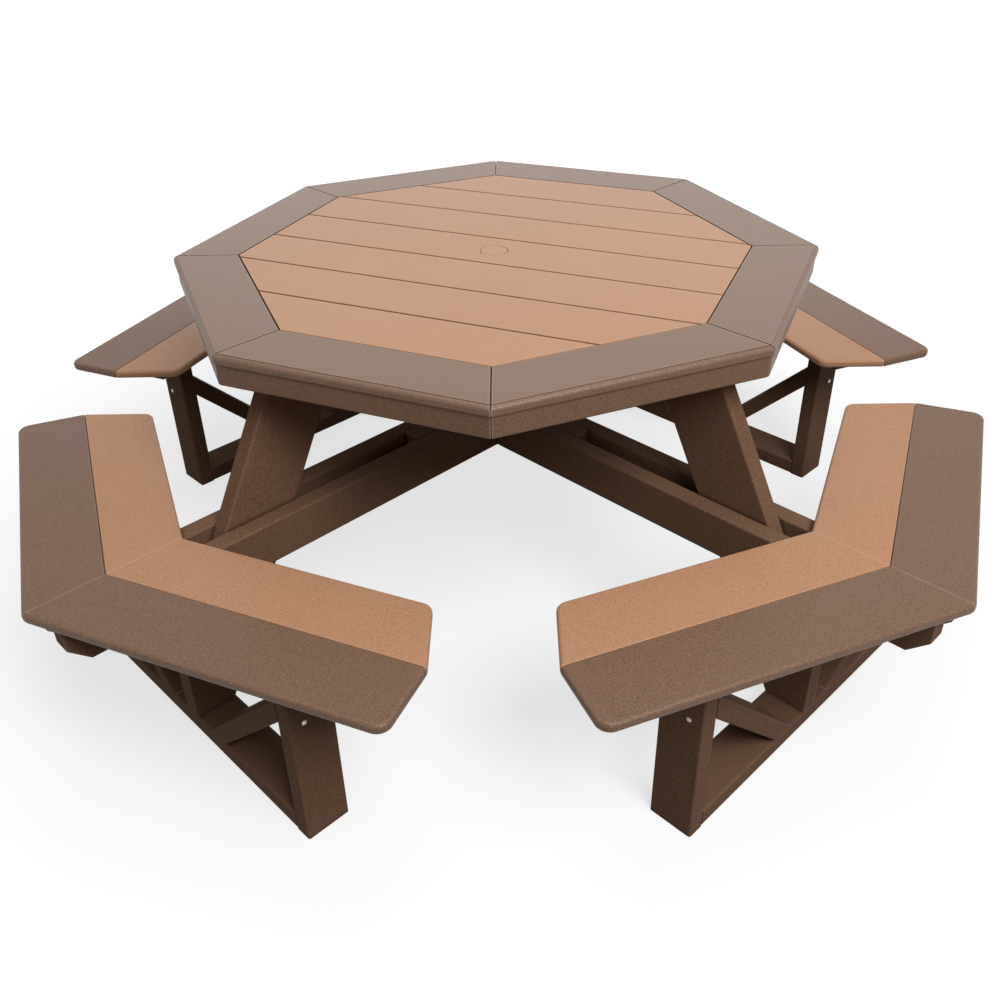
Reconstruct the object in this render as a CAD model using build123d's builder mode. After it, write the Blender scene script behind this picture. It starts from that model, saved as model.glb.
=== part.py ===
from build123d import *

import os
from math import atan2, cos, hypot, radians, sin, tan

# Octagon picnic table with four attached benches, made of plastic lumber.
# Millimetres, +Z up, origin on the floor under the middle of the table.
# The walk-in gaps lie on the X and Y axes; legs, beams and benches lie on the diagonal_angles.
# Pieces on a diagonal are drawn along +X first and then turned to their place.

# Stock sizes
board_thickness = 19
board_width = 138
lumber_thickness = 38
lumber_width = 89
wide_lumber_width = 140
lumber_edge_round = 4.5
mitre_gap = 0.4

# Table top
table_height = 762
slat_count = 7
slat_gap = 5
slat_end_gap = 3
slat_edge_round = 1.5
rim_board_width = 128
rim_edge_round = 8
rim_foot_round = 3
rim_bead_width = 9
rim_bead_drop = 1.2
rim_corner_round = 12
rim_overhang = 4
rim_groove_width = 3
rim_groove_depth = 7
apron_thickness = 42
apron_mitre_gap = 1.5
apron_edge_round = 4

# Umbrella hole and its plug
umbrella_hole_diameter = 50
plug_diameter = 58
plug_flange_thickness = 6
plug_edge_round = 1.5
plug_clearance = 1

# Beams, cleats and table legs
seat_height = 440
beam_end_inset = 36
beam_end_chamfer = 39
filler_reach = 257
lap_clearance = 0.4
cleat_end_gap = 20
leg_head_length = 120
leg_head_clearance = 1

# Bench frames
frame_inset = 32
bench_leg_spacing = 696
brace_drop = 12
seat_cleat_inset = 45
seat_cleat_chamfer = 20
batten_leg_gap = 15
batten_inner_inset = 76
batten_outer_inset = 60

# Bench seats
seat_reach = 742
seat_seam_gap = 0.5
walk_in_width = 202
seat_edge_round = 7
seam_edge_round = 2.5
seat_corner_round = 25

# Fasteners
bolt_diameter = 10
bolt_head_diameter = 22
bolt_head_height = 5
bolt_tail = 4
nut_width = 17
nut_thickness = 8
low_bolt_rise = 20
low_bolt_inset = 54
high_bolt_rise = 40
high_bolt_inset = 24
head_bolt_inset = 37
head_bolt_drop = 31
screw_diameter = 5
screw_length = 52
screw_head_diameter = 10
screw_head_height = 2.5
brace_screw_height = 273
brace_screw_inset = 29
apron_screw_spread = 130
fastener_clearance = 0.25
screw_tip_clearance = 1

# Worked out from the sizes above
side_count = 8
turn = 360 / side_count
half_turn = radians(turn / 2)
diagonal_angles = (45, 135, 225, 315)
beam_angles = (45, 135)
half_lumber = lumber_thickness / 2
board_bottom = table_height - board_thickness
slat_pitch = board_width + slat_gap
field_half_width = (slat_count * slat_pitch - slat_gap) / 2
rim_inner_apothem = field_half_width + slat_end_gap
rim_outer_apothem = rim_inner_apothem + rim_board_width
rim_bead_apothem = rim_outer_apothem - rim_bead_width
apron_bottom = board_bottom - apron_thickness
apron_outer_apothem = rim_outer_apothem - rim_overhang
apron_inner_apothem = apron_outer_apothem - wide_lumber_width
apron_inner_corner = apron_inner_apothem / cos(half_turn)
cleat_bottom = board_bottom - lumber_width
beam_offset = lumber_thickness
beam_outer_face = beam_offset + half_lumber
cleat_reach = apron_inner_corner - beam_outer_face * tan(half_turn) - cleat_end_gap
seat_bottom = seat_height - board_thickness
beam_bottom = seat_bottom - lumber_width
beam_middle = (seat_bottom + beam_bottom) / 2
frame_reach = seat_reach + frame_inset
frame_outer_reach = frame_reach + lumber_width
bench_leg_inner_face = bench_leg_spacing / 2
bench_leg_outer_face = bench_leg_inner_face + lumber_thickness
inner_board_outer_apothem = seat_reach + board_width
outer_board_inner_apothem = inner_board_outer_apothem + seat_seam_gap
outer_board_outer_apothem = outer_board_inner_apothem + board_width
beam_reach = outer_board_outer_apothem / cos(half_turn) - beam_end_inset
bolt_hole_radius = bolt_diameter / 2 + fastener_clearance
screw_hole_radius = screw_diameter / 2 + fastener_clearance
far = 3 * beam_reach

# The leaning table leg: its inner edge runs from the floor rail up to the slats
leg_head_outer = apron_inner_corner - half_lumber * tan(half_turn) - leg_head_clearance
leg_head_inner = leg_head_outer - leg_head_length
leg_lean = atan2(frame_reach - leg_head_inner, board_bottom - lumber_thickness)
leg_level_width = wide_lumber_width / cos(leg_lean)


def leg_inner_edge(height):
    """Distance from the table's axis to the leg's inner edge at a height."""
    return frame_reach - (height - lumber_thickness) * tan(leg_lean)


def leg_middle(height):
    """Distance from the table's axis to the leg's centre line at a height."""
    return leg_inner_edge(height) + leg_level_width / 2


beam_bolt_places = []
for rise, inset in ((low_bolt_rise, low_bolt_inset), (high_bolt_rise, high_bolt_inset)):
    bolt_height = beam_bottom + rise
    bolt_reach = leg_inner_edge(bolt_height) + leg_level_width - inset
    beam_bolt_places.append((bolt_reach, bolt_height))
head_bolt_height = board_bottom - head_bolt_drop
head_bolt_places = [(leg_inner_edge(head_bolt_height) + head_bolt_inset, head_bolt_height)]
brace_screw_reach = frame_outer_reach - brace_screw_inset


def seat_point(apothem, along):
    """Point of a seat half: distance out from the table's middle, and along the board."""
    x = apothem * cos(half_turn) - along * sin(half_turn)
    y = apothem * sin(half_turn) + along * cos(half_turn)
    return (x, y)


def seat_end(apothem):
    """Where the inner seat board's end cut, parallel to the walk-in gap, crosses an apothem."""
    return (apothem * sin(half_turn) - walk_in_width / 2) / cos(half_turn)


def brace_screw_plane(side):
    """Plane of a brace screw's head, on the bench leg's outer face, facing into the leg."""
    head_place = (brace_screw_reach, side * bench_leg_outer_face, brace_screw_height)
    return Plane(origin=head_place, z_dir=(0, -side, 0))


bench_leg_corner_along = bench_leg_outer_face * cos(half_turn) - frame_reach * sin(half_turn)
batten_along = bench_leg_corner_along + batten_leg_gap + lumber_width / 2
batten_inner_apothem = seat_reach + batten_inner_inset
batten_outer_apothem = outer_board_outer_apothem - batten_outer_inset
batten_screw_apothems = (
    (batten_inner_apothem + inner_board_outer_apothem) / 2,
    (outer_board_inner_apothem + batten_outer_apothem) / 2,
)
batten_bottom = seat_bottom - lumber_thickness
batten_screw_points = [seat_point(apothem, batten_along) for apothem in batten_screw_apothems]
apron_screw_apothem = (rim_inner_apothem + apron_outer_apothem) / 2


def save(piece, name):
    """Label a finished piece and write it."""
    piece.label = name
    export_step(piece, f"parts/{name}.step")


def save_turned(blank, name, angles):
    """Write one copy of a blank for each angle about the table's axis."""
    for number, angle in enumerate(angles, start=1):
        with BuildPart() as copy:
            add(blank, rotation=(0, 0, angle))
        save(copy.part, f"{name}_{number}")


def save_group(blanks, name, angles):
    """Write all turned copies of some blanks together, as separate solids of one node."""
    with BuildPart() as group:
        for angle in angles:
            for blank in blanks:
                add(blank, rotation=(0, 0, angle))
    save(group.part, name)


def outer_edges(candidates, apothem):
    """The edges along the outer side of an octagon ring's board, its rounded corners included."""
    return candidates.filter_by(
        lambda edge: hypot(edge.center().X, edge.center().Y) > apothem - mitre_gap
    )


def octagon_sector(outer_apothem, inner_apothem, corner_round, joint_gap):
    """Draw one mitred side of an octagon ring in the sketch that is open."""
    RegularPolygon(outer_apothem / cos(half_turn), side_count)
    fillet(vertices(), corner_round)
    RegularPolygon(inner_apothem / cos(half_turn), side_count, mode=Mode.SUBTRACT)
    apex = Vector(joint_gap / 2 / tan(half_turn), joint_gap / 2)
    first_mitre = apex + Vector(far, 0)
    second_mitre = apex + Vector(far, 0).rotate(Axis.Z, turn)
    Polygon(apex, first_mitre, second_mitre, align=None, mode=Mode.INTERSECT)


def bore_across(places, radius):
    """Bore level holes across the open part, through the points given in the diagonal's plane."""
    for x, z in places:
        with Locations(Location((x, 0, z), (90, 0, 0))):
            Cylinder(radius, far, mode=Mode.SUBTRACT)


def screw_bores(points, height):
    """Bore upright screw holes in the open part, from a height up past the screw's tip."""
    for x, y in points:
        with Locations((x, y, height)):
            Cylinder(
                screw_hole_radius,
                screw_length + screw_tip_clearance,
                align=(Align.CENTER, Align.CENTER, Align.MIN),
                mode=Mode.SUBTRACT,
            )


def headed_pin(shank_diameter, shank_length, head_diameter, head_height):
    """A fastener along +Z: a domed head under the origin plane and a shank above it."""
    with BuildPart() as pin:
        with BuildSketch(Plane.XZ):
            with BuildLine():
                Polyline(
                    (0, -head_height),
                    (0, shank_length),
                    (shank_diameter / 2, shank_length),
                    (shank_diameter / 2, 0),
                    (head_diameter / 2, 0),
                )
                TangentArc((0, -head_height), (head_diameter / 2, 0), tangent=(1, 0))
            make_face()
        revolve(axis=Axis.Z)
    return pin.part


os.makedirs("parts", exist_ok=True)
side_angles = [turn * number for number in range(side_count)]

# Rim of the table top: eight boards with a bead along the outer edge and a groove over each mitre
apron_screw_points = []
for spread in (-apron_screw_spread, apron_screw_spread):
    apron_screw_points.append(seat_point(apron_screw_apothem, spread))

with BuildPart() as rim_board:
    with BuildSketch(Plane.XY.offset(board_bottom)):
        octagon_sector(rim_outer_apothem, rim_inner_apothem, rim_corner_round, mitre_gap)
    extrude(amount=board_thickness - rim_bead_drop)
    top_edges = edges().group_by(Axis.Z)[-1]
    fillet(outer_edges(top_edges, rim_outer_apothem), rim_edge_round)
    foot_edges = edges().group_by(Axis.Z)[0]
    fillet(outer_edges(foot_edges, rim_outer_apothem), rim_foot_round)
    with BuildSketch(Plane.XY.offset(table_height - rim_bead_drop)):
        octagon_sector(rim_bead_apothem, rim_inner_apothem, rim_corner_round, mitre_gap)
    extrude(amount=rim_bead_drop)
    for mitre_angle in (0, turn):
        with Locations(Location((0, 0, table_height), (0, 0, mitre_angle))):
            Box(2 * far, rim_groove_width, 2 * rim_groove_depth, mode=Mode.SUBTRACT)
    screw_bores(apron_screw_points, apron_bottom)
save_turned(rim_board.part, "rim_board", side_angles)

# Apron: eight mitred boards laid flat under the rim, which also carry the slat ends
with BuildPart() as apron_board:
    with BuildSketch(Plane.XY.offset(apron_bottom)):
        octagon_sector(apron_outer_apothem, apron_inner_apothem, rim_corner_round, apron_mitre_gap)
    extrude(amount=apron_thickness)
    fillet(outer_edges(edges().group_by(Axis.Z)[0], apron_outer_apothem), apron_edge_round)
    screw_bores(apron_screw_points, apron_bottom)
save_group([apron_board.part], "apron_boards", side_angles)

# Slats: parallel boards cut to the octagon inside the rim
slat_plane = Plane.XY.offset(board_bottom).rotated((0, 0, -turn / 2))
middle_slat = (slat_count + 1) // 2
for number in range(1, slat_count + 1):
    with BuildPart() as slat:
        with BuildSketch(slat_plane):
            RegularPolygon(field_half_width / cos(half_turn), side_count, rotation=turn / 2)
            with Locations((0, (number - middle_slat) * slat_pitch)):
                Rectangle(far, board_width, mode=Mode.INTERSECT)
        extrude(amount=board_thickness)
        fillet(faces().sort_by(Axis.Z)[-1].edges(), slat_edge_round)
        if number == middle_slat:
            with Locations((0, 0, table_height)):
                CounterBoreHole(
                    umbrella_hole_diameter / 2,
                    plug_diameter / 2 + plug_clearance,
                    plug_flange_thickness,
                )
            hole_edge = edges().filter_by(GeomType.CIRCLE).group_by(Axis.Z)[-1]
            fillet(hole_edge, plug_edge_round)
    save(slat.part, f"slat_{number}")

# Plug of the umbrella hole: its flange sits flush in the middle slat
with BuildPart() as umbrella_plug:
    with Locations((0, 0, table_height)):
        Cylinder(
            plug_diameter / 2,
            plug_flange_thickness,
            align=(Align.CENTER, Align.CENTER, Align.MAX),
        )
        Cylinder(
            umbrella_hole_diameter / 2 - plug_clearance,
            board_thickness,
            align=(Align.CENTER, Align.CENTER, Align.MAX),
        )
    fillet(faces().sort_by(Axis.Z)[-1].edges(), plug_edge_round)
save(umbrella_plug.part, "umbrella_plug")


def crossing_stick(side, reach, bottom, end_chamfer, notch_top, bolt_places):
    """One stick on edge of a crossing pair, along X, half lapped over the other pair."""
    middle = bottom + lumber_width / 2
    with BuildPart() as stick:
        with BuildSketch(Plane.YZ):
            with Locations((side * beam_offset, middle)):
                RectangleRounded(lumber_thickness, lumber_width, lumber_edge_round)
        extrude(amount=reach, both=True)
        with BuildSketch(Plane.XZ):
            with BuildLine():
                Polyline(
                    (-reach, bottom + lumber_width),
                    (reach, bottom + lumber_width),
                    (reach, bottom + end_chamfer),
                    (reach - end_chamfer, bottom),
                    (end_chamfer - reach, bottom),
                    (-reach, bottom + end_chamfer),
                    close=True,
                )
            make_face()
        extrude(amount=far, both=True, mode=Mode.INTERSECT)
        notch_align = Align.MIN if notch_top else Align.MAX
        notch_shift = -lap_clearance / 2 if notch_top else lap_clearance / 2
        for place in (-beam_offset, beam_offset):
            with Locations((place, side * beam_offset, middle + notch_shift)):
                Box(
                    lumber_thickness + lap_clearance,
                    2 * lumber_thickness,
                    lumber_width,
                    align=(Align.CENTER, Align.CENTER, notch_align),
                    mode=Mode.SUBTRACT,
                )
        bore_across(bolt_places, bolt_hole_radius)
        bore_across([(-x, z) for x, z in bolt_places], bolt_hole_radius)
    return stick.part


# Seat beams: two pairs that cross under the table and carry the benches
stick_number = 0
for line, notch_top in zip(beam_angles, (True, False)):
    for side in (-1, 1):
        stick_number += 1
        beam = crossing_stick(
            side, beam_reach, beam_bottom, beam_end_chamfer, notch_top, beam_bolt_places
        )
        with BuildPart() as seat_beam:
            add(beam, rotation=(0, 0, line))
        save(seat_beam.part, f"seat_beam_{stick_number}")

# Top cleats: two crossing pairs under the slats that clasp the heads of the table legs
with BuildPart() as top_cleats:
    for line, notch_top in zip(beam_angles, (True, False)):
        for side in (-1, 1):
            cleat = crossing_stick(
                side, cleat_reach, cleat_bottom, beam_end_chamfer, notch_top, head_bolt_places
            )
            add(cleat, rotation=(0, 0, line))
save(top_cleats.part, "top_cleats")

# Filler blocks between the beams of each pair, flush with their tops
with BuildPart() as beam_filler:
    with BuildSketch(Plane.YZ.offset(beam_outer_face)):
        with Locations((0, beam_middle)):
            Rectangle(lumber_thickness, lumber_width)
    extrude(amount=filler_reach - beam_outer_face)
save_group([beam_filler.part], "beam_fillers", diagonal_angles)

# Table legs: wide boards that lean in from the floor rails to the slats
leg_length = 2 * table_height
leg_axis_start = (leg_middle(lumber_thickness), 0, lumber_thickness)
leg_axis = Vector(-sin(leg_lean), 0, cos(leg_lean))
with BuildPart() as table_leg:
    with BuildSketch(Plane(origin=leg_axis_start, x_dir=(0, 1, 0), z_dir=leg_axis)):
        RectangleRounded(lumber_thickness, wide_lumber_width, lumber_edge_round)
    extrude(amount=leg_length, both=True)
    with BuildSketch(Plane.XZ):
        with BuildLine():
            Polyline(
                (0, board_bottom),
                (leg_head_outer, board_bottom),
                (leg_head_outer, apron_bottom),
                (frame_outer_reach, apron_bottom),
                (frame_outer_reach, lumber_thickness),
                (0, lumber_thickness),
                close=True,
            )
        make_face()
    extrude(amount=far, both=True, mode=Mode.INTERSECT)
    bore_across(beam_bolt_places + head_bolt_places, bolt_hole_radius)
save_turned(table_leg.part, "table_leg", diagonal_angles)

# Floor rails: flat between the bench legs, under the feet of the table legs
with BuildPart() as floor_rail:
    with BuildSketch(Plane.XZ):
        with Locations((frame_reach + lumber_width / 2, half_lumber)):
            RectangleRounded(lumber_width, lumber_thickness, lumber_edge_round)
    extrude(amount=bench_leg_inner_face, both=True)
save_turned(floor_rail.part, "floor_rail", diagonal_angles)

# Bench legs and braces, one of each for both sides of a bench
bench_legs = []
bench_braces = []
seat_cleat_blanks = []
batten_blanks = []
for side in (-1, 1):
    with BuildPart() as bench_leg:
        with BuildSketch(Plane.XY):
            with Locations(
                (frame_reach + lumber_width / 2, side * (bench_leg_inner_face + half_lumber))
            ):
                RectangleRounded(lumber_width, lumber_thickness, lumber_edge_round)
        extrude(amount=seat_bottom)
        with BuildSketch(brace_screw_plane(side)):
            Circle(screw_hole_radius)
        extrude(amount=screw_length + screw_tip_clearance, mode=Mode.SUBTRACT)
    bench_legs.append(bench_leg.part)

    brace_top = beam_bottom - brace_drop
    brace_start = (frame_reach + lumber_width / 2, side * bench_leg_inner_face, brace_top)
    brace_level_half = lumber_thickness / sin(radians(45)) / 2
    brace_axis = Vector(0, -side, -1).normalized()
    brace_origin = Vector(*brace_start) - Vector(0, 0, brace_level_half)
    with BuildPart() as bench_brace:
        with BuildSketch(Plane(origin=brace_origin, x_dir=(1, 0, 0), z_dir=brace_axis)):
            RectangleRounded(lumber_width, lumber_thickness, lumber_edge_round)
        extrude(amount=bench_leg_spacing, both=True)
        with Locations((frame_reach + lumber_width / 2, 0, lumber_thickness)):
            Box(
                far,
                bench_leg_spacing,
                far,
                align=(Align.CENTER, Align.CENTER, Align.MIN),
                mode=Mode.INTERSECT,
            )
        with BuildSketch(brace_screw_plane(side)):
            Circle(screw_hole_radius)
        extrude(amount=screw_length + screw_tip_clearance, mode=Mode.SUBTRACT)
    bench_braces.append(bench_brace.part)

    # Seat cleat: flat against the bench leg's inner face, under both seat boards
    seat_cleat_end = outer_board_outer_apothem - bench_leg_inner_face * sin(half_turn)
    seat_cleat_end = seat_cleat_end / cos(half_turn) - seat_cleat_inset
    with BuildPart() as seat_cleat:
        with BuildSketch(Plane.XZ):
            with BuildLine():
                Polyline(
                    (frame_reach, seat_bottom),
                    (seat_cleat_end, seat_bottom),
                    (seat_cleat_end, batten_bottom + seat_cleat_chamfer),
                    (seat_cleat_end - seat_cleat_chamfer, batten_bottom),
                    (frame_reach, batten_bottom),
                    close=True,
                )
            make_face()
        extrude(amount=bench_leg_inner_face, both=True)
        with Locations((0, side * (bench_leg_inner_face - lumber_width / 2), batten_bottom)):
            Box(far, lumber_width, far, mode=Mode.INTERSECT)
    seat_cleat_blanks.append(seat_cleat.part)

    # Batten: flat under the outer end of a seat half, across both boards
    with BuildPart() as seat_batten:
        with BuildSketch(Plane.XY.offset(batten_bottom)):
            batten_corners = []
            for apothem, along_side in (
                (batten_inner_apothem, -1),
                (batten_outer_apothem, -1),
                (batten_outer_apothem, 1),
                (batten_inner_apothem, 1),
            ):
                corner = seat_point(apothem, batten_along + along_side * lumber_width / 2)
                batten_corners.append((corner[0], side * corner[1]))
            with BuildLine():
                Polyline(*batten_corners, close=True)
            make_face()
        extrude(amount=lumber_thickness)
        chamfer(faces().sort_by(Axis.Z)[0].edges(), lumber_edge_round)
        screw_bores([(x, side * y) for x, y in batten_screw_points], batten_bottom)
    batten_blanks.append(seat_batten.part)

for number, angle in enumerate(diagonal_angles, start=1):
    save_group(bench_legs, f"bench_legs_{number}", [angle])
    save_group(bench_braces, f"bench_braces_{number}", [angle])
save_group(seat_cleat_blanks, "seat_cleats", diagonal_angles)
save_group(batten_blanks, "seat_battens", diagonal_angles)


def seat_board(inner_apothem, outer_apothem, inner_end, outer_end, round_outer):
    """One half of a bench seat's board pair, on the +Y side of the diagonal."""
    inner_mitre = (inner_apothem / cos(half_turn), 0)
    outer_mitre = (outer_apothem / cos(half_turn), 0)
    outer_corner = seat_point(outer_apothem, outer_end)
    inner_corner = seat_point(inner_apothem, inner_end)
    seam_apothem = inner_apothem if round_outer else outer_apothem

    def along_seam(edge):
        """Whether an edge runs beside the other board of the bench."""
        middle = edge.center()
        apothem = middle.X * cos(half_turn) + middle.Y * sin(half_turn)
        return abs(apothem - seam_apothem) < seat_seam_gap / 2

    with BuildPart() as board:
        with BuildSketch(Plane.XY.offset(seat_bottom)):
            with BuildLine():
                Polyline(
                    inner_mitre,
                    (inner_corner[0], -inner_corner[1]),
                    (outer_corner[0], -outer_corner[1]),
                    outer_mitre,
                    outer_corner,
                    inner_corner,
                    close=True,
                )
            make_face()
            if round_outer:
                corners = vertices().sort_by_distance((0, 0))[-3:]
            else:
                corners = vertices().filter_by(
                    lambda corner: abs(corner.Y) > inner_corner[1] - mitre_gap
                ).sort_by_distance((0, 0))[:2]
            fillet(corners, seat_corner_round)
            with Locations((0, mitre_gap / 2)):
                Rectangle(2 * far, far, align=(Align.CENTER, Align.MIN), mode=Mode.INTERSECT)
        extrude(amount=board_thickness)
        level_edges = edges().filter_by(Axis.Z, reverse=True)
        level_edges = level_edges.filter_by(lambda edge: edge.bounding_box().max.Y > mitre_gap)
        fillet(level_edges.filter_by(lambda edge: not along_seam(edge)), seat_edge_round)
        top_edges = edges().group_by(Axis.Z)[-1]
        fillet(top_edges.filter_by(along_seam), seam_edge_round)
        screw_bores(batten_screw_points, batten_bottom)
    return board.part


# Seat boards: an inner and an outer pair on each bench, mitred on the diagonal
outer_board_end = seat_end(inner_board_outer_apothem)
inner_half = seat_board(
    seat_reach,
    inner_board_outer_apothem,
    seat_end(seat_reach),
    seat_end(inner_board_outer_apothem),
    False,
)
outer_half = seat_board(
    outer_board_inner_apothem,
    outer_board_outer_apothem,
    outer_board_end,
    outer_board_end,
    True,
)
for name, half in (("inner_seat_board", inner_half), ("outer_seat_board", outer_half)):
    board_number = 0
    for angle in diagonal_angles:
        for mirrored in (True, False):
            board_number += 1
            placed = half.mirror(Plane.XZ) if mirrored else half
            with BuildPart() as board:
                add(placed, rotation=(0, 0, angle))
            save(board.part, f"{name}_{board_number}")

# Carriage bolts and hex nuts: through each leg and the beams or cleats beside it
bolt_length = 2 * beam_outer_face + nut_thickness + bolt_tail
bolt = headed_pin(bolt_diameter, bolt_length, bolt_head_diameter, bolt_head_height)
with BuildPart() as hex_nut:
    with BuildSketch(Plane.XY):
        RegularPolygon(nut_width / 2, 6, major_radius=False)
        Circle(bolt_diameter / 2 + fastener_clearance, mode=Mode.SUBTRACT)
    extrude(amount=nut_thickness)

bolts = []
nuts = []
for x, z in beam_bolt_places + head_bolt_places:
    head_seat = Plane(origin=(x, -beam_outer_face, z), z_dir=(0, 1, 0))
    nut_seat = Plane(origin=(x, beam_outer_face, z), z_dir=(0, 1, 0))
    bolts.append(head_seat.location * bolt)
    nuts.append(nut_seat.location * hex_nut.part)
save_group(bolts, "carriage_bolts", diagonal_angles)
save_group(nuts, "hex_nuts", diagonal_angles)

# Wood screws: through the bench legs into the braces, and up through battens and apron
screw = headed_pin(screw_diameter, screw_length, screw_head_diameter, screw_head_height)
bench_screws = []
for side in (-1, 1):
    bench_screws.append(brace_screw_plane(side).location * screw)
    for x, y in batten_screw_points:
        bench_screws.append(Pos(x, side * y, batten_bottom) * screw)
apron_screws = [Pos(x, y, apron_bottom) * screw for x, y in apron_screw_points]
with BuildPart() as wood_screws:
    for angle in diagonal_angles:
        for placed in bench_screws:
            add(placed, rotation=(0, 0, angle))
    for angle in side_angles:
        for placed in apron_screws:
            add(placed, rotation=(0, 0, angle))
save(wood_screws.part, "wood_screws")
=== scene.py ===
"""Looks of an octagon picnic table of plastic lumber, dressed over its CAD solids.

Metres, +Z up, origin on the floor under the middle of the table. The walk-in gaps
lie on the X and Y axes; legs, beams and benches lie on the diagonals.
"""

import logging
import math
from dataclasses import dataclass, field, replace
from enum import Enum

import bpy
from mathutils import Matrix, Vector

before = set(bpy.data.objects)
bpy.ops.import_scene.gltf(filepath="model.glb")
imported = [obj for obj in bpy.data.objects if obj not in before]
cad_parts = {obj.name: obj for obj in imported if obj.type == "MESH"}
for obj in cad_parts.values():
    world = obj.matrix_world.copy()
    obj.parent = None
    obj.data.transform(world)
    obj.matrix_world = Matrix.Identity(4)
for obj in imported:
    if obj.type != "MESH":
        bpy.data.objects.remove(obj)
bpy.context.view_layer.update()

log = logging.getLogger("picnic_table")

Colour = tuple[float, float, float]
Point = tuple[float, float, float]
Span = tuple[float, float]

BENCH_COUNT = 4
SIDE_COUNT = 8
SLAT_COUNT = 7
BEAM_COUNT = 4
LEG_COUNT = 4


class Stock(Enum):
    """What the pieces are made from."""

    SMOOTH_CEDAR = "smooth cedar board"
    SMOOTH_BROWN = "smooth brown board"
    SATIN_CEDAR = "satin cedar board"
    SATIN_BROWN = "satin brown board"
    DULL_BROWN = "dull brown lumber"
    STEEL = "stainless fastener"

    @property
    def slot(self) -> str:
        """The record's material slot."""
        if self in (Stock.SMOOTH_CEDAR, Stock.SATIN_CEDAR):
            return "cedar_lumber"
        return "fasteners" if self is Stock.STEEL else "brown_lumber"


class Ray(Enum):
    """The rays that see the pale background as it is, by Light Path output."""

    CAMERA = "Is Camera Ray"
    GLOSSY = "Is Glossy Ray"
    TRANSMISSION = "Is Transmission Ray"


def numbered(name: str, count: int) -> list[str]:
    """List the numbered nodes of one kind.

    Args:
        name: What the nodes' names start with.
        count: How many there are.

    Returns:
        The names, numbered from one.
    """
    return [f"{name}_{number}" for number in range(1, count + 1)]


class NodeGraph:
    """A small helper that adds and joins the nodes of one node tree."""

    def __init__(self, tree: bpy.types.NodeTree) -> None:
        """Start with an empty tree.

        Args:
            tree: The node tree of a material or of the world.
        """
        self.tree = tree
        self.tree.nodes.clear()

    def add(self, kind: str, **settings: object) -> bpy.types.Node:
        """Add one node.

        Args:
            kind: The node's type name.
            **settings: Properties of the node to set.

        Returns:
            The new node.
        """
        node = self.tree.nodes.new(kind)
        for name, value in settings.items():
            setattr(node, name, value)
        return node

    def join(self, source: bpy.types.NodeSocket, target: bpy.types.NodeSocket) -> None:
        """Link an output to an input."""
        self.tree.links.new(source, target)

    def mix_colours(
        self,
        share: bpy.types.NodeSocket,
        first: bpy.types.NodeSocket | Colour,
        second: bpy.types.NodeSocket | Colour,
    ) -> bpy.types.NodeSocket:
        """Mix two colours.

        Args:
            share: How much of the second colour there is.
            first: A colour or the output that gives it.
            second: A colour or the output that gives it.

        Returns:
            The mixed colour.
        """
        mix = self.add("ShaderNodeMix", data_type="RGBA")
        colour_inputs = [socket for socket in mix.inputs if socket.type == "RGBA"]
        for socket, colour in zip(colour_inputs, (first, second)):
            if isinstance(colour, tuple):
                socket.default_value = (*colour, 1.0)
            else:
                self.join(colour, socket)
        self.join(share, mix.inputs["Factor"])
        return next(socket for socket in mix.outputs if socket.type == "RGBA")

    def remap(
        self,
        value: bpy.types.NodeSocket,
        source: Span,
        target: Span,
    ) -> bpy.types.NodeSocket:
        """Map a value from one range to another, without going beyond it.

        Args:
            value: The value to map.
            source: The range that it comes from.
            target: The range that it goes to.

        Returns:
            The mapped value.
        """
        mapped = self.add("ShaderNodeMapRange")
        mapped.inputs["From Min"].default_value = source[0]
        mapped.inputs["From Max"].default_value = source[1]
        mapped.inputs["To Min"].default_value = target[0]
        mapped.inputs["To Max"].default_value = target[1]
        self.join(value, mapped.inputs["Value"])
        return mapped.outputs["Result"]

    def pale_background_rays(self) -> bpy.types.NodeSocket:
        """Make a value that is 1 for the rays that see the background as it is.

        Returns:
            The output socket that holds the value.
        """
        light_path = self.add("ShaderNodeLightPath")
        total: bpy.types.NodeSocket | None = None
        for ray in Ray:
            found = light_path.outputs[ray.value]
            if total is None:
                total = found
                continue
            larger = self.add("ShaderNodeMath", operation="MAXIMUM")
            self.join(total, larger.inputs[0])
            self.join(found, larger.inputs[1])
            total = larger.outputs[0]
        return total


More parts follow.
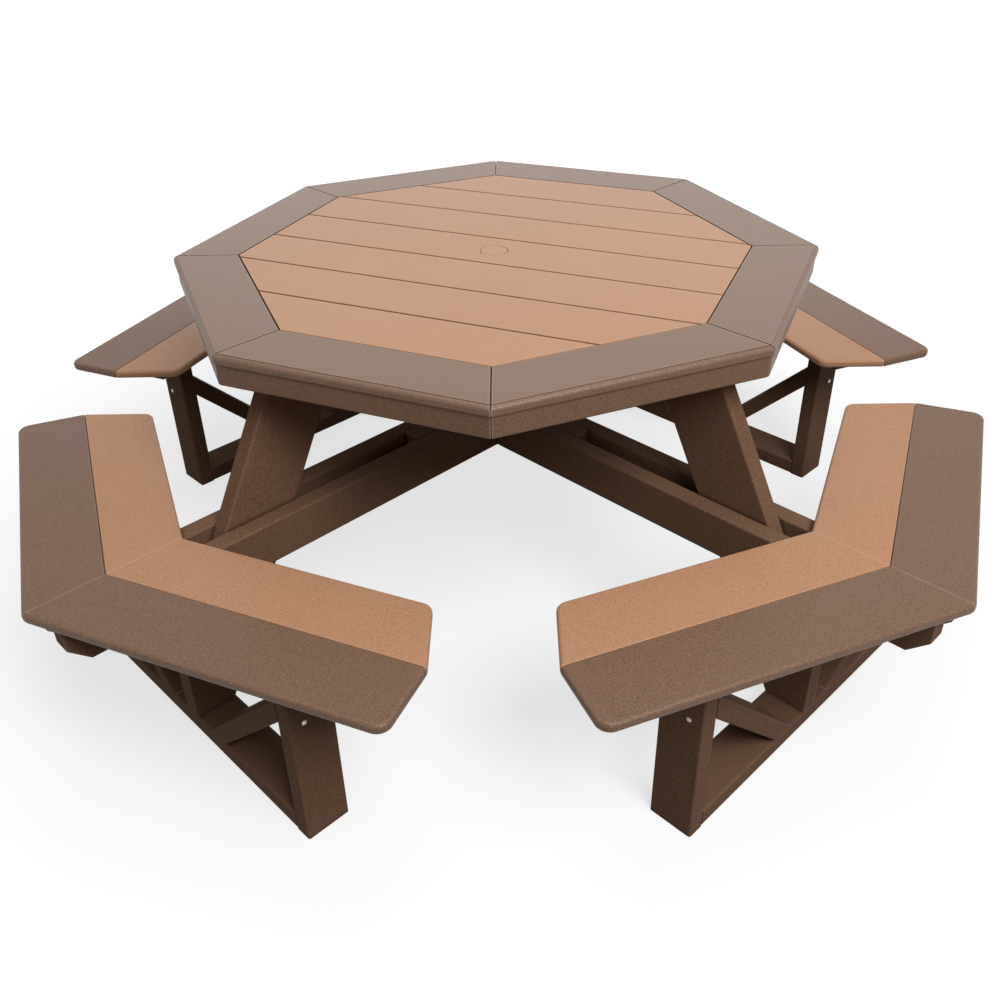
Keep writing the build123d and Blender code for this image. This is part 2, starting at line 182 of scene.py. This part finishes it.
@dataclass(frozen=True)
class LumberFinish:
    """Matte plastic lumber with fine flecks of a paler and a darker tone."""

    name: str
    colour: Colour
    dark_fleck: Colour
    pale_fleck: Colour
    cloud_colour: Colour
    # Painted shade: this colour darkens seams, gaps and corners where the surface is closed in.
    painted_crevice_shade: Colour
    # Edge wear and a painted highlight: a paler colour along sharp convex edges.
    wear_and_highlight_colour: Colour
    specular_level: float
    roughness_low: float
    roughness_high: float
    fleck_scale: float = 420.0
    fleck_detail: float = 4.0
    fleck_stops: tuple[float, float, float] = (0.30, 0.50, 0.72)
    cloud_scale: float = 7.0
    cloud_detail: float = 2.0
    cloud_range: Span = (0.45, 0.75)
    cloud_most: float = 0.35
    # How far the painted crevice shade looks, and the openness over which it fades out.
    crevice_shade_reach: float = 0.012
    crevice_shade_range: Span = (0.35, 0.9)
    # How far the edge search looks for the paler edges, which are partly wear and partly painted
    # highlight, and how strong they get.
    wear_and_highlight_reach: float = 0.003
    wear_and_highlight_range: Span = (0.55, 0.95)
    wear_and_highlight_most: float = 0.6
    shade_samples: int = 8
    grit_scale: float = 1100.0
    grit_detail: float = 2.0
    grit_range: Span = (0.3, 0.7)
    grit_depth: float = 0.00025
    grit_strength: float = 0.35

    def material(self) -> bpy.types.Material:
        """Make the material.

        Returns:
            The finished material.
        """
        made = bpy.data.materials.new(self.name)
        made.use_nodes = True
        graph = NodeGraph(made.node_tree)
        output = graph.add("ShaderNodeOutputMaterial")
        shader = graph.add("ShaderNodeBsdfPrincipled")
        shader.inputs["Specular IOR Level"].default_value = self.specular_level
        graph.join(shader.outputs["BSDF"], output.inputs["Surface"])
        place = graph.add("ShaderNodeTexCoord").outputs["Object"]
        graph.join(self._base_colour(graph, place), shader.inputs["Base Color"])
        grit = self._noise(graph, place, self.grit_scale, self.grit_detail)
        graph.join(self._roughness(graph, grit), shader.inputs["Roughness"])
        graph.join(self._normal(graph, grit), shader.inputs["Normal"])
        return made

    def _noise(
        self, graph: NodeGraph, place: bpy.types.NodeSocket, scale: float, detail: float
    ) -> bpy.types.NodeSocket:
        """Add a noise field.

        Args:
            graph: The graph that it is added to.
            place: The coordinates it reads.
            scale: Features per metre.
            detail: Levels of finer noise.

        Returns:
            The noise value.
        """
        noise = graph.add("ShaderNodeTexNoise")
        noise.inputs["Scale"].default_value = scale
        noise.inputs["Detail"].default_value = detail
        graph.join(place, noise.inputs["Vector"])
        return noise.outputs["Fac"]

    def _base_colour(
        self, graph: NodeGraph, place: bpy.types.NodeSocket
    ) -> bpy.types.NodeSocket:
        """Mix the flecks, the clouds of tone, paler sharp edges that are edge wear with a
        painted highlight, and painted shade in seams and crevices.

        Args:
            graph: The graph that it is added to.
            place: The coordinates it reads.

        Returns:
            The colour output.
        """
        flecks = self._flecks(graph, place)
        clouds = self._noise(graph, place, self.cloud_scale, self.cloud_detail)
        cloud_share = graph.remap(clouds, self.cloud_range, (0.0, self.cloud_most))
        clouded = graph.mix_colours(cloud_share, flecks, self.cloud_colour)
        # Painted shade: darker where ambient occlusion finds the surface closed in, in seams,
        # gaps and corners.
        crevice_openness = self._openness(graph, self.crevice_shade_reach, False)
        unshaded_share = graph.remap(crevice_openness, self.crevice_shade_range, (0.0, 1.0))
        # Edge wear and a painted highlight: paler where ambient occlusion from inside finds a
        # sharp convex edge.
        thickness = self._openness(graph, self.wear_and_highlight_reach, True)
        wear_and_highlight_share = graph.remap(thickness, self.wear_and_highlight_range, (self.wear_and_highlight_most, 0.0))
        worn_and_highlighted = graph.mix_colours(wear_and_highlight_share, clouded, self.wear_and_highlight_colour)
        return graph.mix_colours(unshaded_share, self.painted_crevice_shade, worn_and_highlighted)

    def _flecks(
        self, graph: NodeGraph, place: bpy.types.NodeSocket
    ) -> bpy.types.NodeSocket:
        """Strew fine dark and pale flecks over the lumber's own colour.

        Args:
            graph: The graph that it is added to.
            place: The coordinates it reads.

        Returns:
            The colour output.
        """
        ramp = graph.add("ShaderNodeValToRGB")
        low, middle, high = self.fleck_stops
        dark_stop, pale_stop = ramp.color_ramp.elements
        dark_stop.position = low
        dark_stop.color = (*self.dark_fleck, 1.0)
        pale_stop.position = high
        pale_stop.color = (*self.pale_fleck, 1.0)
        ramp.color_ramp.elements.new(middle).color = (*self.colour, 1.0)
        noise = self._noise(graph, place, self.fleck_scale, self.fleck_detail)
        graph.join(noise, ramp.inputs["Fac"])
        return ramp.outputs["Color"]

    def _openness(
        self, graph: NodeGraph, reach: float, inside: bool
    ) -> bpy.types.NodeSocket:
        """Measure how open the space near the surface is.

        Args:
            graph: The graph that it is added to.
            reach: How far to look, in metres.
            inside: Whether to look into the lumber, which finds its sharp edges.

        Returns:
            A value from 0, closed in, to 1, open.
        """
        shade = graph.add(
            "ShaderNodeAmbientOcclusion", samples=self.shade_samples, inside=inside
        )
        shade.inputs["Distance"].default_value = reach
        return shade.outputs["AO"]

    def _roughness(
        self, graph: NodeGraph, grit: bpy.types.NodeSocket
    ) -> bpy.types.NodeSocket:
        """Vary the roughness with the grit of the surface.

        Args:
            graph: The graph that it is added to.
            grit: The noise value of the grit.

        Returns:
            The roughness value.
        """
        target = (self.roughness_low, self.roughness_high)
        return graph.remap(grit, self.grit_range, target)

    def _normal(
        self, graph: NodeGraph, grit: bpy.types.NodeSocket
    ) -> bpy.types.NodeSocket:
        """Raise the grit a little, as on extruded plastic.

        Args:
            graph: The graph that it is added to.
            grit: The noise value of the grit.

        Returns:
            The bumped normal.
        """
        bump = graph.add("ShaderNodeBump")
        bump.inputs["Strength"].default_value = self.grit_strength
        bump.inputs["Distance"].default_value = self.grit_depth
        graph.join(grit, bump.inputs["Height"])
        return bump.outputs["Normal"]


@dataclass(frozen=True)
class SteelFinish:
    """Plain stainless steel of the screws, bolts and nuts."""

    name: str = "stainless_steel"
    pale: Colour = (0.46, 0.44, 0.42)
    dull: Colour = (0.30, 0.28, 0.26)
    stain_scale: float = 160.0
    stain_stops: Span = (0.35, 0.6)
    roughness: float = 0.45

    def material(self) -> bpy.types.Material:
        """Make the material.

        Returns:
            The finished material.
        """
        made = bpy.data.materials.new(self.name)
        made.use_nodes = True
        graph = NodeGraph(made.node_tree)
        output = graph.add("ShaderNodeOutputMaterial")
        shader = graph.add("ShaderNodeBsdfPrincipled")
        shader.inputs["Metallic"].default_value = 1.0
        shader.inputs["Roughness"].default_value = self.roughness
        graph.join(shader.outputs["BSDF"], output.inputs["Surface"])
        place = graph.add("ShaderNodeTexCoord").outputs["Object"]
        noise = graph.add("ShaderNodeTexNoise")
        noise.inputs["Scale"].default_value = self.stain_scale
        graph.join(place, noise.inputs["Vector"])
        tones = graph.add("ShaderNodeValToRGB")
        tone_stops = zip(tones.color_ramp.elements, self.stain_stops, (self.dull, self.pale))
        for stop, position, colour in tone_stops:
            stop.position = position
            stop.color = (*colour, 1.0)
        graph.join(noise.outputs["Fac"], tones.inputs["Fac"])
        graph.join(tones.outputs["Color"], shader.inputs["Base Color"])
        return made


class Palette:
    """The materials of the table, one for each kind of stock."""

    cedar = LumberFinish(
        name="smooth_cedar_lumber",
        colour=(0.430, 0.225, 0.125),
        dark_fleck=(0.325, 0.162, 0.086),
        pale_fleck=(0.530, 0.300, 0.180),
        cloud_colour=(0.455, 0.248, 0.145),
        # Painted shade in seams, gaps and corners.
        painted_crevice_shade=(0.250, 0.118, 0.060),
        # Paler sharp edges: edge wear and a painted highlight.
        wear_and_highlight_colour=(0.600, 0.380, 0.260),
        specular_level=0.22,
        roughness_low=0.36,
        roughness_high=0.48,
    )
    brown = LumberFinish(
        name="smooth_brown_lumber",
        colour=(0.168, 0.092, 0.055),
        dark_fleck=(0.108, 0.056, 0.032),
        pale_fleck=(0.245, 0.147, 0.097),
        cloud_colour=(0.186, 0.104, 0.065),
        # Painted shade in seams, gaps and corners.
        painted_crevice_shade=(0.085, 0.038, 0.024),
        # Paler sharp edges: edge wear and a painted highlight.
        wear_and_highlight_colour=(0.340, 0.245, 0.190),
        specular_level=0.45,
        roughness_low=0.36,
        roughness_high=0.48,
    )
    satin_cedar = replace(cedar, name="satin_cedar_lumber", specular_level=0.15)
    satin_brown = replace(brown, name="satin_brown_lumber", specular_level=0.28)
    dull_brown = replace(
        brown,
        name="dull_brown_lumber",
        specular_level=0.03,
        roughness_low=0.60,
        roughness_high=0.75,
    )
    steel = SteelFinish()

    def __init__(self) -> None:
        """Make the materials."""
        self.materials = {
            Stock.SMOOTH_CEDAR: self.cedar.material(),
            Stock.SMOOTH_BROWN: self.brown.material(),
            Stock.SATIN_CEDAR: self.satin_cedar.material(),
            Stock.SATIN_BROWN: self.satin_brown.material(),
            Stock.DULL_BROWN: self.dull_brown.material(),
            Stock.STEEL: self.steel.material(),
        }

    def dress(self, names: list[str], stock: Stock) -> None:
        """Give CAD nodes their material.

        Args:
            names: The nodes.
            stock: What they are made from.
        """
        for name in names:
            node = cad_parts[name]
            node.data.materials.clear()
            node.data.materials.append(self.materials[stock])
            log.info("dressed %s as %s", name, stock.value)


@dataclass
class TableTop:
    """The slats, the mitred rim around them, the boards below and the plug."""

    slats: list[str] = field(default_factory=lambda: numbered("slat", SLAT_COUNT))
    rim: list[str] = field(default_factory=lambda: numbered("rim_board", SIDE_COUNT))
    apron: str = "apron_boards"
    cleats: str = "top_cleats"
    plug: str = "umbrella_plug"

    def dress(self, palette: Palette) -> None:
        """Give the boards their colours."""
        palette.dress([*self.slats, self.plug], Stock.SMOOTH_CEDAR)
        palette.dress(self.rim, Stock.SMOOTH_BROWN)
        palette.dress([self.apron], Stock.SATIN_BROWN)
        palette.dress([self.cleats], Stock.DULL_BROWN)


@dataclass
class Base:
    """The leaning legs and the crossing beams."""

    legs: list[str] = field(default_factory=lambda: numbered("table_leg", LEG_COUNT))
    beams: list[str] = field(default_factory=lambda: numbered("seat_beam", BEAM_COUNT))
    fillers: str = "beam_fillers"

    def dress(self, palette: Palette) -> None:
        """Give the base its colour."""
        palette.dress([*self.legs, *self.beams, self.fillers], Stock.DULL_BROWN)


@dataclass
class Bench:
    """One bench: its seat boards, bench legs, braces and floor rail."""

    number: int

    def board_numbers(self) -> tuple[int, int]:
        """Numbers of the bench's two seat halves."""
        return (2 * self.number - 1, 2 * self.number)

    def dress(self, palette: Palette) -> None:
        """Give the seat and the frame their colours."""
        inner = [f"inner_seat_board_{number}" for number in self.board_numbers()]
        outer = [f"outer_seat_board_{number}" for number in self.board_numbers()]
        frame_names = [
            f"bench_legs_{self.number}",
            f"bench_braces_{self.number}",
            f"floor_rail_{self.number}",
        ]
        palette.dress(inner, Stock.SATIN_CEDAR)
        palette.dress(outer, Stock.SATIN_BROWN)
        palette.dress(frame_names, Stock.DULL_BROWN)


@dataclass
class Hardware:
    """The sticks under the seats and all fasteners."""

    sticks: list[str] = field(default_factory=lambda: ["seat_cleats", "seat_battens"])
    fasteners: list[str] = field(
        default_factory=lambda: ["carriage_bolts", "hex_nuts", "wood_screws"]
    )

    def dress(self, palette: Palette) -> None:
        """Give the sticks and the fasteners their materials."""
        palette.dress(self.sticks, Stock.DULL_BROWN)
        palette.dress(self.fasteners, Stock.STEEL)


@dataclass(frozen=True)
class SoftLamp:
    """One large soft lamp."""

    name: str
    place: Point
    aim: Point
    width: float
    height: float
    power: float

    def build(self) -> None:
        """Hang the lamp, turned to what it lights."""
        data = bpy.data.lights.new(self.name, "AREA")
        data.shape = "RECTANGLE"
        data.size = self.width
        data.size_y = self.height
        data.energy = self.power
        lamp = bpy.data.objects.new(self.name, data)
        lamp.location = self.place
        beam = Vector(self.aim) - Vector(self.place)
        lamp.rotation_euler = beam.to_track_quat("-Z", "Y").to_euler()
        lamp.visible_camera = False
        bpy.context.scene.collection.objects.link(lamp)


@dataclass
class Studio:
    """Pale floor, soft light and white surround."""

    floor_half_size: float = 40.0
    floor_colour: Colour = (0.36, 0.36, 0.36)
    bounce_colour: Colour = (0.08, 0.07, 0.06)
    glow_near: float = 0.70
    glow_far: float = 1.0
    glow_radius: float = 4.0
    glow_range: Span = (0.0, 0.7)
    sky_strength: float = 0.25
    lamps: tuple[SoftLamp, ...] = (
        SoftLamp("overhead", (0.0, 0.0, 4.2), (0.0, 0.0, 0.0), 2.4, 2.4, 42.0),
        SoftLamp("key", (1.5, -3.0, 3.9), (0.0, 0.0, 0.6), 2.2, 2.2, 165.0),
        SoftLamp("horizon", (0.0, 5.5, 2.0), (0.0, 0.0, 0.7), 6.0, 2.5, 42.0),
    )

    def build(self) -> None:
        """Set the floor, the light and the surround."""
        self._floor()
        self._surround()
        for lamp in self.lamps:
            lamp.build()

    def _floor(self) -> None:
        """Lay a floor that is white to the camera and keeps the table's shadow."""
        half = self.floor_half_size
        corners = [(-half, -half, 0), (half, -half, 0), (half, half, 0), (-half, half, 0)]
        mesh = bpy.data.meshes.new("floor")
        mesh.from_pydata(corners, [], [(0, 1, 2, 3)])
        floor = bpy.data.objects.new("floor", mesh)
        bpy.context.scene.collection.objects.link(floor)
        material = bpy.data.materials.new("pale_floor")
        material.use_nodes = True
        graph = NodeGraph(material.node_tree)
        output = graph.add("ShaderNodeOutputMaterial")
        matte = graph.add("ShaderNodeBsdfDiffuse")
        matte.inputs["Color"].default_value = (*self.floor_colour, 1.0)
        glow = graph.add("ShaderNodeEmission")
        graph.join(self._glow(graph), glow.inputs["Strength"])
        seen = graph.add("ShaderNodeAddShader")
        graph.join(matte.outputs["BSDF"], seen.inputs[0])
        graph.join(glow.outputs["Emission"], seen.inputs[1])
        bounced = graph.add("ShaderNodeBsdfDiffuse")
        bounced.inputs["Color"].default_value = (*self.bounce_colour, 1.0)
        chosen = graph.add("ShaderNodeMixShader")
        graph.join(graph.pale_background_rays(), chosen.inputs["Fac"])
        graph.join(bounced.outputs["BSDF"], chosen.inputs[1])
        graph.join(seen.outputs["Shader"], chosen.inputs[2])
        graph.join(chosen.outputs["Shader"], output.inputs["Surface"])
        mesh.materials.append(material)

    def _glow(self, graph: NodeGraph) -> bpy.types.NodeSocket:
        """Let the floor fade from pale, around the table, to white.

        Args:
            graph: The graph of the floor's material.

        Returns:
            The strength of the floor's own white.
        """
        place = graph.add("ShaderNodeTexCoord").outputs["Object"]
        shrink = graph.add("ShaderNodeMapping")
        shrink.inputs["Scale"].default_value = [1.0 / self.glow_radius] * 3
        graph.join(place, shrink.inputs["Vector"])
        ball = graph.add("ShaderNodeTexGradient", gradient_type="SPHERICAL")
        graph.join(shrink.outputs["Vector"], ball.inputs["Vector"])
        return graph.remap(ball.outputs["Fac"], self.glow_range, (self.glow_far, self.glow_near))

    def _surround(self) -> None:
        """Surround the table with even light, white where it is seen."""
        world = bpy.data.worlds.new("studio")
        bpy.context.scene.world = world
        world.use_nodes = True
        graph = NodeGraph(world.node_tree)
        output = graph.add("ShaderNodeOutputWorld")
        lit = graph.add("ShaderNodeBackground")
        lit.inputs["Strength"].default_value = self.sky_strength
        lit.inputs["Color"].default_value = (1.0, 1.0, 1.0, 1.0)
        seen = graph.add("ShaderNodeBackground")
        seen.inputs["Color"].default_value = (1.0, 1.0, 1.0, 1.0)
        chosen = graph.add("ShaderNodeMixShader")
        graph.join(graph.pale_background_rays(), chosen.inputs["Fac"])
        graph.join(lit.outputs["Background"], chosen.inputs[1])
        graph.join(seen.outputs["Background"], chosen.inputs[2])
        graph.join(chosen.outputs["Shader"], output.inputs["Surface"])


@dataclass(frozen=True)
class Viewpoint:
    """The camera of the photograph, found by fitting the table's corners."""

    place: Point = (0.0314, -2.0484, 1.5207)
    pitch: float = math.radians(-32.60)
    yaw: float = math.radians(-1.403)
    roll: float = math.radians(-1.491)
    image_width: float = 1000.0
    focal_pixels: float = 1014.4
    centre_x: float = 490.8
    centre_y: float = 471.2
    sensor: float = 36.0

    def orientation(self) -> Matrix:
        """Work out the camera's axes.

        Returns:
            The rotation from the camera's axes to the world's.
        """
        forward = Vector((
            math.sin(self.yaw) * math.cos(self.pitch),
            math.cos(self.yaw) * math.cos(self.pitch),
            math.sin(self.pitch),
        ))
        level_right = Vector((math.cos(self.yaw), -math.sin(self.yaw), 0.0))
        level_up = level_right.cross(forward)
        right = level_right * math.cos(self.roll) + level_up * math.sin(self.roll)
        up = level_up * math.cos(self.roll) - level_right * math.sin(self.roll)
        return Matrix((right, up, -forward)).transposed()

    def build(self) -> None:
        """Set up the camera."""
        data = bpy.data.cameras.new("camera")
        data.sensor_width = self.sensor
        data.lens = self.focal_pixels / self.image_width * self.sensor
        half_width = self.image_width / 2
        data.shift_x = (half_width - self.centre_x) / self.image_width
        data.shift_y = (self.centre_y - half_width) / self.image_width
        camera = bpy.data.objects.new("camera", data)
        turned = self.orientation().to_4x4()
        camera.matrix_world = Matrix.Translation(self.place) @ turned
        bpy.context.scene.collection.objects.link(camera)
        bpy.context.scene.camera = camera


def main() -> None:
    """Dress the table and set it in the studio."""
    logging.basicConfig(level=logging.INFO)
    palette = Palette()
    TableTop().dress(palette)
    Base().dress(palette)
    for number in range(1, BENCH_COUNT + 1):
        Bench(number).dress(palette)
    Hardware().dress(palette)
    Studio().build()
    Viewpoint().build()
    bpy.context.scene.view_settings.view_transform = "Standard"


if __name__ == "__main__":
    main()
